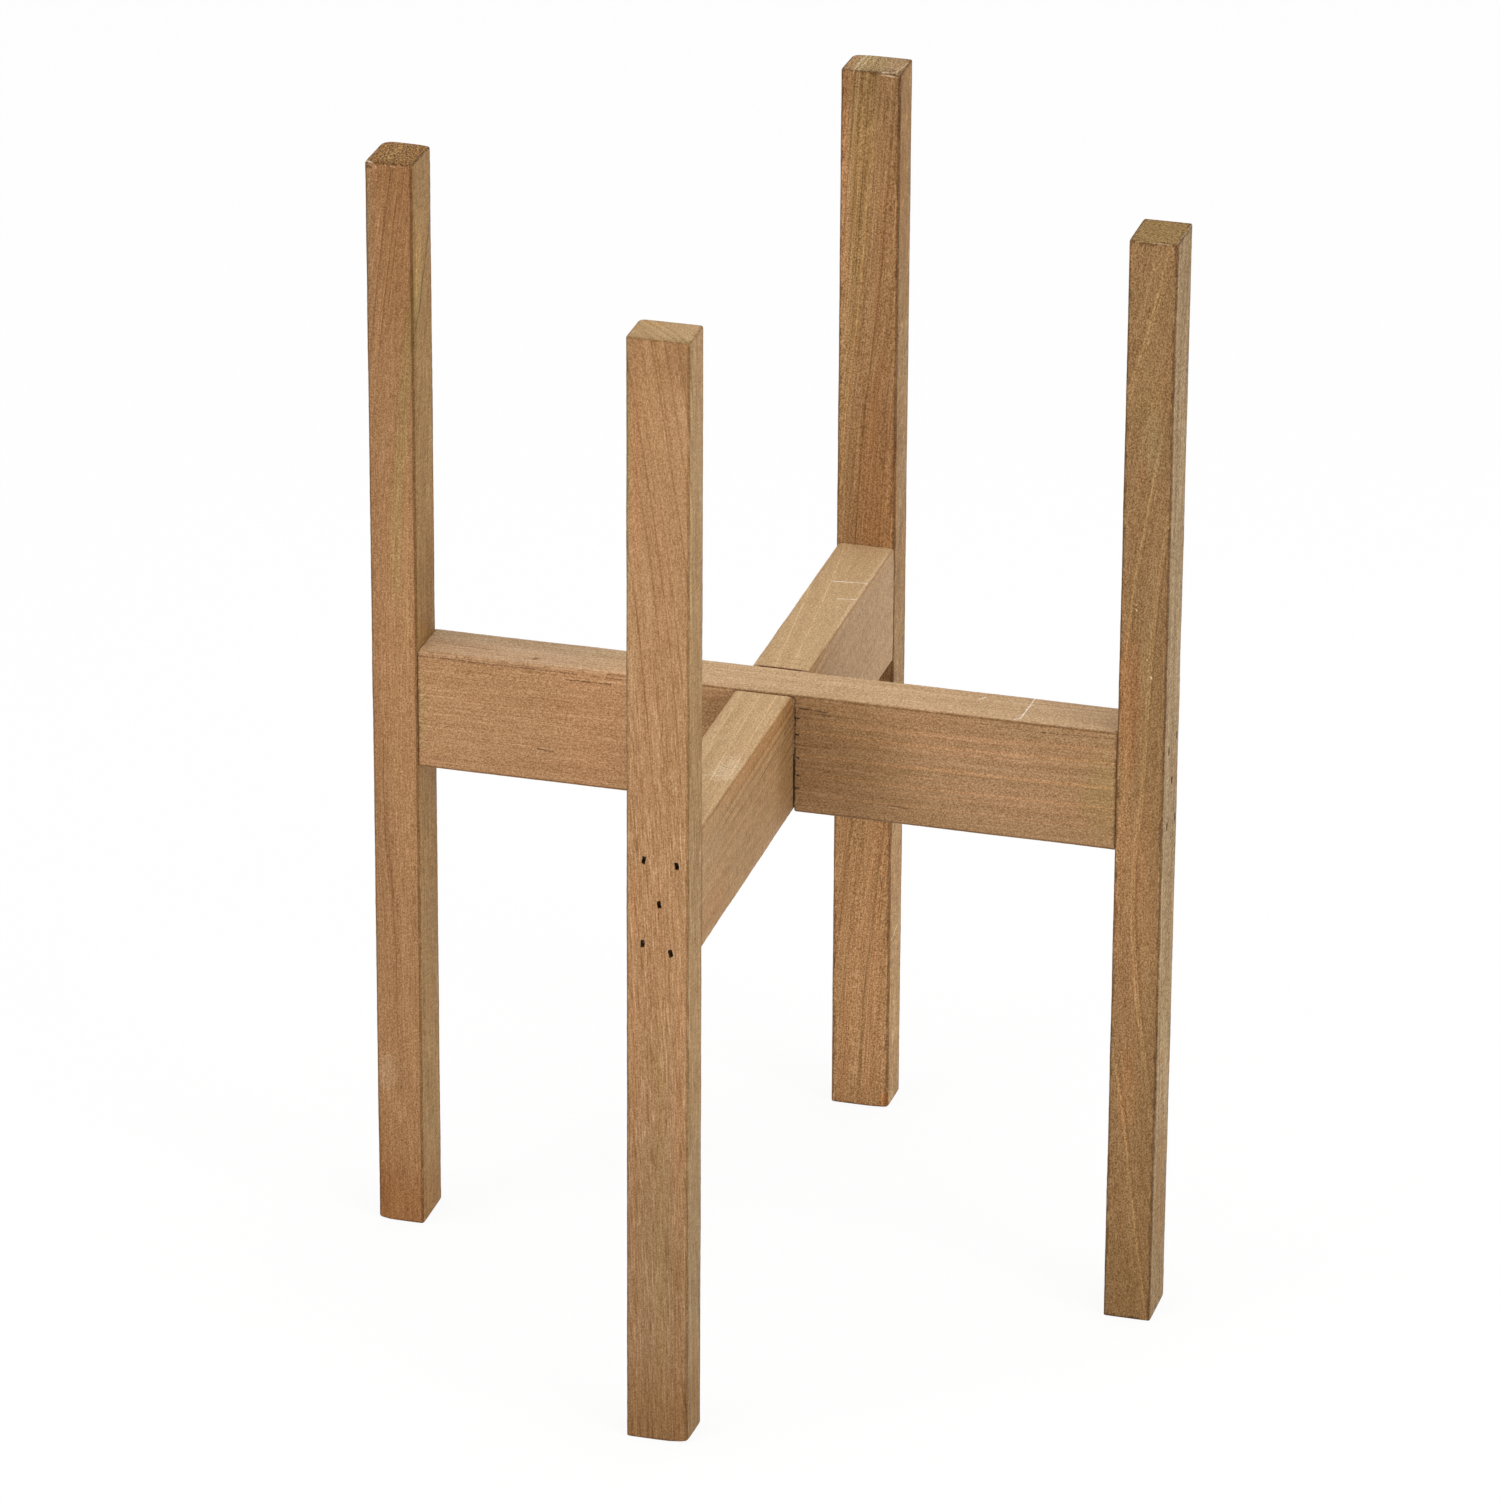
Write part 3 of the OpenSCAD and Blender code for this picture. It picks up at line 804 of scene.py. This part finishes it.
rightPost = {
    "shape": {"arrises": (0.8, 0.9, 1, 0.8), "endRadius": 0.6, "seed": 41},
    **plainLook, "wander": 1, "layers": 0.07, "lines": 0.3, "speckle": 0.42, "threads": (0.36, 0.36),
    "streaks": (0.24, 0, 0), "sawn": (0.3, 0, 0.12), "porous": 0.4, "seed": 53, "pith": (-40, -92, 0),
    "tones": ("#A3865F", "#98744B", "#8A6B3B"),
    "run": [(0, -10.8), (13, -10), (38, -8.2), (63, -6.7), (94, -5), (119, -3.6), (144, -1.8), (175, -0.5),
            (194, 0), (219, -0.2), (250, -1.3), (313, -2.4), (350, -3.8), (375, -5.4), (425, -9.2),
            (450, -11.8), (500, -17.2)],
    "bands": onFace("y", -13.5, [
        (-4.6, 450, 0.32, 75, (128, 132, 130)), (-3, 450, 0.26, 70, (120, 122, 120)),
        (-1, 370, 0.32, 78, (128, 132, 128)), (0.4, 370, 0.24, 70, (86, 84, 78)),
        (0.8, 250, 0.3, 185, (130, 133, 130)), (1.9, 250, 0.26, 175, (118, 118, 115)),
        (2.8, 250, 0.4, 175, (83, 80, 74)), (6.5, 200, 1.9, 120, (95, 94, 91)),
        (0.2, 63, 0.32, 80, (134, 136, 131)), (1.6, 63, 0.34, 76, (84, 81, 77)),
    ]),
    "patches": onFace("y", -13.5, [
        (-5, 290, (7, 5, 48), (106, 94, 89)), (-2, 110, (6.5, 4, 30), (114, 107, 104)),
        (-9, 260, (7, 6, 105), (121, 119, 121)), (-2, 190, (15, 6, 85), (114, 109, 110)),
        (9, 330, (6, 6, 50), (93, 90, 90)), (0, 40, (18, 6, 55), (95, 94, 90)),
        (2, 412, (6, 5, 20), (105, 113, 123)), (9, 430, (6, 5, 90), (89, 88, 86)),
        (9, 90, (7, 5, 80), (89, 87, 84)), (0, 0, (26, 10, 62), (85, 83, 77)),
        (4, 0, (3, 4, 2.5), (55, 55, 55)), (0, 420, (8, 6, 30), (98, 102, 96)),
    ]) + onFace("x", 10.5, [
        (0, 0, (3, 20, 120), (80, 75, 63)), (0, 500, (3, 20, 60), (87, 84, 79)),
        # The last patch here is a dark line of painted shade along the back arris
        (0, 160, (3, 20, 90), (106, 104, 97)), (13.5, 250, (4, 3, 1500), (60, 55, 54)),
        (0, 60, (4, 13, 42), (105, 96, 87)),
    ]) + [
        ((0, 13, 500), (12, 3, 3), (112, 100, 84)),
        # Painted shade in the driver's slots
        *[((10.5, across, 250 + up), (3, 1.6, 2.5), (30, 25, 22))
          for across, up, _ in slotSetup["leftRight"]],
    ],
    "scratchesAndPaintedLines": [
        ((3.5, -13.5, 305.2), (3.9, -13.5, 304.6), 0.5, "#EADBB8", 0.95, 0.2),
        ((1.6, -13.5, 313), (1.9, -13.5, 312.6), 0.4, "#DCC99C", 0.9, 0.2),
        ((-3.8, -13.5, 337.6), (-3.5, -13.5, 337.2), 0.4, "#DCC99C", 0.9, 0.2),
        ((-9.5, -13.5, 343), (-9.2, -13.5, 342.6), 0.35, "#D8C494", 0.9, 0.2),
        # The front edge of the top is rubbed bare
        ((-7.5, -13.2, 499.8), (0.5, -13.2, 499.8), 0.4, "#B89A6A", 0.7, 0.2),
        ((0.5, -13.2, 499.8), (7.5, -13.2, 499.6), 0.4, "#C2A87E", 0.75, 0.2),
        ((7.5, -13.4, 499.2), (8.8, -13.5, 496.5), 0.4, "#B8976A", 0.6, 0.2),
        ((9.6, -12, 499.8), (10.2, 12, 499.8), 0.4, "#C9B288", 0.7, 0.2),
        ((-3.5, -13.5, 335.4), (-3.2, -13.5, 334.8), 0.45, "#E4D2AC", 0.9, 0.2),
    ],
}
throughRail = {
    "shape": {"arrises": (1.6, 2, 1, 0.8), "endRadius": 0.45, "seed": 59},
    **plainLook, "wander": 0.8, "clouding": 0.18, "layers": 0.02, "lines": 0.2, "fibres": 0.06,
    "speckle": 0.34, "threads": (0.42, 0.26), "streaks": (0, 0, 0.06), "sawn": (0, 0, 0),
    "shortness": 0.5, "closeness": 1.3,
    "arrises": [(1.5, (107.2, 106, 103.6)), (1, (55, 49.6, 44.2))], "seed": 61, "pith": (-40, 120, 0),
    "tones": ("#AE9071", "#A9835B", "#BD9B74"), "run": [(-155, 0.4), (-50, 0), (60, 0), (155, 0.5)],
    "bands": onFace("y", -13.25, [
        (-16.5, 85, 0.3, 95, (112, 108, 105)), (-11.2, 85, 0.28, 95, (119, 114, 110)),
        (-8.8, 85, 0.25, 70, (110, 106, 104)), (-0.5, 85, 0.32, 95, (124, 118, 113)),
        (4, 85, 0.25, 80, (108, 106, 104)), (8.5, 85, 0.32, 95, (118, 113, 108)),
        (12, 85, 0.25, 80, (110, 106, 104)), (17.5, 85, 0.25, 80, (111, 107, 104)),
        (-6, 85, 0.6, 82, (94, 92, 90)), (1.2, 85, 0.5, 82, (92, 91, 88)), (14, 85, 0.8, 82, (94, 92, 90)),
    ]),
    "patches": onFace("y", -13.25, [
        (0, -120, (90, 24, 130), (116, 110, 109)), (0, -156, (30, 8, 7), (94, 100, 92)),
        # The second patch here is painted shade on the front face beside the joint
        (5, 150, (28, 8, 13), (95, 100, 90)), (0, 18, (60, 6, 58), (81, 79, 74)),
        (-4, -75, (60, 6, 26), (109, 107, 107)), (4, 100, (34, 6, 45), (110, 111, 117)),
    ]) + [
        ((-27.5, -6, -103), (2, 1.4, 2.6), (76, 71, 66)),
        # Painted light over the shade where the back edge of the top meets the cross rail
        ((-26.5, 13.25, 0), (3.5, 2.4, 15), (148, 140, 132)),
        ((-27.5, 0, -139), (3, 3, 20), (89, 85, 80)), ((-27.5, 0, -130), (4, 40, 95), (81, 83, 86)),
    ],
    "scratchesAndPaintedLines": [
        ((-22.3, -13.25, -88), (-22.6, -13.25, -68), 0.5, "#5C4028", 0.85, 1),
        ((-27.5, -7.4, -104.6), (-27.5, -6.6, -103.4), 0.85, "#54381F", 1, 0.5),
        ((-27.5, -2, -147), (-27.5, -2.7, -122), 0.42, "#735232", 0.8, 0.3),
        ((12, -13.25, -101), (12.4, -13.25, -94), 0.5, "#5C4028", 0.8, 1),
        ((-21.7, -13.25, 16), (-21.2, -13.25, 28), 0.5, "#4A3420", 0.85, 1),
        ((-20, -13.25, 24), (-19.7, -13.25, 33), 0.4, "#4A3420", 0.8, 1),
        ((18.5, -13.25, 56), (19.3, -13.25, 64), 0.5, "#5C4028", 0.8, 0.8),
        ((-27, -12.9, -155), (-27, -12.9, -70), 0.8, "#D2A67C", 0.75, 0),
        ((-25.4, -13.25, -155), (-25.2, -13.25, -62), 0.36, "#6A4328", 0.9, 0.8),
        ((-27.5, -11.2, 109.8), (-27.5, -8.9, 112.2), 0.5, "#F4E9D6", 0.9, 0.3),
        ((-27.5, -8.9, 112.2), (-27.5, 12.2, 113), 0.5, "#F4E9D6", 0.95, 0.3),
        ((-27.5, 4.6, 90.2), (-27.5, 7.8, 92.4), 0.55, "#F4E9D6", 1, 0.3),
        ((-24.4, -13.25, 92), (-23.6, -13.25, 124), 0.28, "#6E4C30", 0.75, 0.6),
        ((-23.8, -13.25, 122), (-24.4, -13.25, 154), 0.34, "#5E3E26", 0.8, 0.8),
        # Painted shade along the joint's gap and in the groove over the cross rail
        ((-26, -13.25, 14), (27, -13.25, 14), 0.5, "#33210F", 0.9, 0.6),
        ((-26.2, -13, -13.2), (-26.2, -13, 13.6), 0.9, "#4A3320", 0.85, 0.6),
        # Torn grain beside the joint
        *[((down, -13.25, 13.8), (further, -13.25, end), 0.65, "#2E1D0D", 0.95, 0.8)
          for down, further, end in (
            (-17, -16.8, 15.9), (-9.5, -9.3, 15.5), (1.5, 1.6, 15.7), (9.5, 9.7, 16.5), (15.5, 15.7, 15.9))],
    ],
}
crossRail = {
    "shape": {"arrises": (1.6, 1.4, 2.6, 0.9), "endRadius": 0.45, "seed": 67},
    **plainLook, "wander": 0.6, "clouding": 0.15, "layers": 0.02, "lines": 0.25, "paleLines": 0,
    "fibres": 0.06, "speckle": 0.28, "threads": (0.2, 0.12), "streaks": (0.05, 0, 0),
    "shortness": 0.3, "closeness": 1.3,
    "arrises": [(1.6, (109.8, 109.1, 107)), (0.9, (68, 63.2, 58.4), (-1, -1, 0))], "seed": 71,
    "pith": (-70, -132, 0), "tones": ("#AE895F", "#AE8F6E", "#BC9B71"),
    "run": [(-155, -4), (-50, -1.2), (0, 0), (60, 2.8), (155, 8)],
    "bands": onFace("y", -27.5, [
        (-8.7, -20, 0.28, 260, (116, 116, 117)), (-6.2, -20, 1.6, 260, (94, 92, 90)),
        (-0.5, -20, 0.28, 260, (121, 121, 121)), (3, -20, 1.5, 260, (97, 96, 94)),
        (6.6, -20, 0.28, 260, (119, 119, 119)),
    ]) + onFace("x", 13.25, [
        *[(across, -40, 0.34, 105, (60, 54, 47)) for across in (-22, -17.5, -12)],
        *[(across, -40, 0.32, 105, (138, 132, 125)) for across in (-20, -14.5, -6)],
        *[(across, -60, 0.24, 150, (77, 73, 68)) for across in (-3, 7, 17)],
        *[(across, -60, 0.24, 150, (119, 116, 112)) for across in (3, 12)],
    ]),
    "patches": onFace("x", 13.25, [
        (12, -138, (3, 20, 26), (104, 96, 94)), (-2, -145, (2, 1.1, 1.2), (64, 60, 55)),
        (0, -16, (3, 80, 30), (79, 75, 68)), (-3, -150, (3, 22, 42), (105, 109, 116)),
        (27, -40, (3, 4, 40), (109, 114, 123)), (-24, -50, (3, 8, 100), (104, 96, 87)),
        (0, 110, (4, 80, 95), (119, 126, 144)),
    ]) + [
        ((7, -27.5, -94), (8, 3, 17), (117, 128, 150)),
    ],
    "scratchesAndPaintedLines": [
        ((-1, -27.5, -103), (6, -27.5, -102), 0.5, "#E4D2B4", 0.6, 0.1),
        ((4.5, -27.5, -92.5), (7.5, -27.5, -93.5), 0.45, "#86694A", 0.85, 0.5),
        # A pale line along the left arris of the top: a painted highlight
        ((-13, -26.9, -152), (-12.9, -26.9, -17), 0.34, "#E2C79C", 0.7, 0),
        ((-6, -27.5, 20), (11, -27.5, 18.6), 0.3, "#8A6A45", 0.65, 0.4),
        ((13.25, -9.7, -70), (13.25, -17.5, -14), 0.4, "#6A4A2C", 0.6, 0.8),
        # Torn grain beside the joint
        *[((13.25, down, start), (13.25, further, -13), width, code, amount, 0.8)
          for down, start, further, width, code, amount in (
            (-22.2, -26, -23.2, 0.55, "#54391F", 0.9), (-18.7, -22, -19.4, 0.5, "#5A3E26", 0.9),
            (-15, -28, -16.2, 0.55, "#54391F", 0.9), (-10, -21, -10.6, 0.5, "#5A3E26", 0.9),
            (-5, -24, -5.6, 0.55, "#54391F", 0.9), (0.2, -20, 0, 0.5, "#5A3E26", 0.9),
            (5.4, -19, 5.2, 0.5, "#5A3E26", 0.85), (15.6, -20, 15.4, 0.5, "#5A3E26", 0.85),
            (20.2, -18, 20, 0.5, "#5A3E26", 0.85))],
        ((13.25, 15, -153.5), (13.25, 16.5, -153), 0.6, "#5A3E26", 0.8, 0.8),
        # Painted shade in the groove where the top meets the through rail
        ((-12, -27.4, -13.7), (12, -27.4, -13.7), 0.5, "#5A3E26", 0.8, 0.5),
        ((3.5, -27.5, 93), (12, -27.5, 94.5), 0.5, "#F4E9D6", 0.95, 0.3),
        ((-3, -27.5, 111.5), (12, -27.5, 113.5), 0.5, "#F4E9D6", 0.9, 0.3),
        ((0, -27.5, 24), (12.5, -27.5, 23.6), 0.4, "#8C6A42", 0.7, 0.5),
        ((3, -27.5, -99), (7, -27.5, -96), 0.4, "#E8DAC2", 0.55, 0.2),
    ],
}
timbers = {"post_front": frontPost, "post_left": leftPost, "post_back": backPost, "post_right": rightPost,
           "rail_through": throughRail, "rail_cross": crossRail}
railHalf = (13.25, 27.5)    # half the thickness and height of a rail, in mm
notchSetup = {
    # How far each cheek stands off the rail that lies in the notch, and how torn and how eased its edges are
    "rail_through": {"off": (0.2, 0.6), "torn": (0.5, 0.9), "eased": (0.5, 0.5)},
    "rail_cross": {"off": (0.5, 0.03), "torn": (0.5, 0.05), "eased": (1.4, 0.8)},
}


def notchCutter(node, setup):
    # The half lap: the through rail is open below and the cross rail above
    bm = bmesh.new()
    bmesh.ops.create_cube(bm, size=1)
    lower = node == "rail_through"
    across, along = (0, 1) if lower else (1, 0)
    before, after = setup["off"]
    reach = 30 * mm
    size, middle = [0, 0, reach], [0, 0, railMiddle + (-reach if lower else reach) / 2]
    size[across], size[along] = (railHalf[0] * 2 + before + after) * mm, reach
    middle[across] = (after - before) / 2 * mm
    bmesh.ops.scale(bm, vec=size, verts=bm.verts)
    bmesh.ops.translate(bm, vec=middle, verts=bm.verts)
    bmesh.ops.subdivide_edges(bm, edges=bm.edges[:], cuts=23, use_grid_fill=True)
    for vert in bm.verts:
        outwards = vert.co[across] - middle[across]
        if abs(outwards) > size[across] / 2 - 0.01 * mm:
            tear = max(0.0, noise.noise(vert.co / mm * 0.8 + Vector((40, 0, 0)))) ** 1.5
            tear *= 3.0 * setup["torn"][outwards > 0]
            toFace = abs(vert.co.z - railMiddle) / mm - railHalf[1] + setup["eased"][outwards > 0]
            vert.co[across] += math.copysign((tear + max(0.0, toFace)) * mm, outwards)
    return bm


for node, timber in timbers.items():
    shape = timber["shape"]
    bm, centre, size, axis, sides = timberBlank(node, shape)
    wear(bm, centre, size, axis, sides, shape)
    piece = dressedPiece(node + "_timber", bm, node, timberMaterial(node, timber))
    cutAway(piece, slotCutter(node, slotSetup) if node in slotSides else notchCutter(node, notchSetup[node]))
    print(node, "made,", len(piece.data.polygons), "faces")


nailLook = {"bare": "#5E5850", "tarnished": "#2E2822"}


def nailMaterial(look):
    material = bpy.data.materials.new("nailSteel")
    material.use_nodes = True
    tree = material.node_tree
    shader = tree.nodes["Principled BSDF"]
    position = scaled(tree.nodes.new("ShaderNodeTexCoord").outputs["Object"], 1000.0)
    drawn = cloud(position, (0.4, 0.4, 6.0), (0.0, 0.0, 0.0), 3.0)
    tarnish = ramp(cloud(position, (0.9, 0.9, 0.9), (5.0, 0.0, 0.0), 3.0), 0.4, 0.65)
    feed(shader.inputs["Base Color"], blend(tarnish, colour(look["bare"]), colour(look["tarnished"])))
    feed(shader.inputs["Roughness"], ramp(drawn, 0.3, 0.7, 0.3, 0.6))
    shader.inputs["Metallic"].default_value = 1.0
    feed(shader.inputs["Normal"],
         addNode("Bump", {"Height": drawn, "Strength": 0.3, "Distance": 0.05 * mm}).outputs[0])
    return material


steel = nailMaterial(nailLook)
for side in ("front", "left", "back", "right"):
    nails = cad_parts["nails_" + side]
    for holder in nails.material_slots:
        holder.material = steel
print("nails finished")


def whiteForCamera(plain, seen):
    # The camera, reflections and see-through rays meet the seen shader, and the light meets the plain one
    path = plain.id_data.nodes.new("ShaderNodeLightPath").outputs
    looked = calc("MAXIMUM", path["Is Camera Ray"],
                  calc("MAXIMUM", path["Is Glossy Ray"], path["Is Transmission Ray"]))
    return addNode("MixShader", [looked, plain, seen]).outputs[0]


def setStudio(setup):
    world = bpy.data.worlds.new("studio")
    scene.world = world
    world.use_nodes = True
    tree = world.node_tree
    tree.nodes.clear()
    pureWhite = (1, 1, 1, 1)
    lit = addNode("Background", {"Color": pureWhite, "Strength": setup["sky"]}, tree).outputs[0]
    seen = addNode("Background", {"Color": pureWhite, "Strength": 1}, tree).outputs[0]
    feed(tree.nodes.new("ShaderNodeOutputWorld").inputs["Surface"], whiteForCamera(lit, seen))
    for lamp in setup["lamps"]:
        addLamp(*lamp)
    bm = bmesh.new()
    bmesh.ops.create_grid(bm, x_segments=2, y_segments=2, size=12)
    floor = bpy.data.objects.new("floor", bpy.data.meshes.new("floor"))
    bm.to_mesh(floor.data)
    bm.free()
    scene.collection.objects.link(floor)
    paper = bpy.data.materials.new("floorPaper")
    paper.use_nodes = True
    tree = paper.node_tree
    tree.nodes.clear()
    tone = setup["floorTone"]
    matt = addNode("BsdfDiffuse", {"Color": (tone, tone, tone, 1)}, tree).outputs[0]
    white = addNode("BsdfDiffuse", {"Color": pureWhite}, tree).outputs[0]
    glow = addNode("Emission", {"Color": pureWhite, "Strength": 1}, tree).outputs[0]
    bright = addNode("MixShader", [setup["floorGlow"], white, glow]).outputs[0]
    feed(tree.nodes.new("ShaderNodeOutputMaterial").inputs["Surface"], whiteForCamera(matt, bright))
    floor.data.materials.append(paper)


setCamera(cameraSetup)
setStudio(lightSetup)
scene.view_settings.view_transform = "Standard"
print("camera, lamps and floor set")
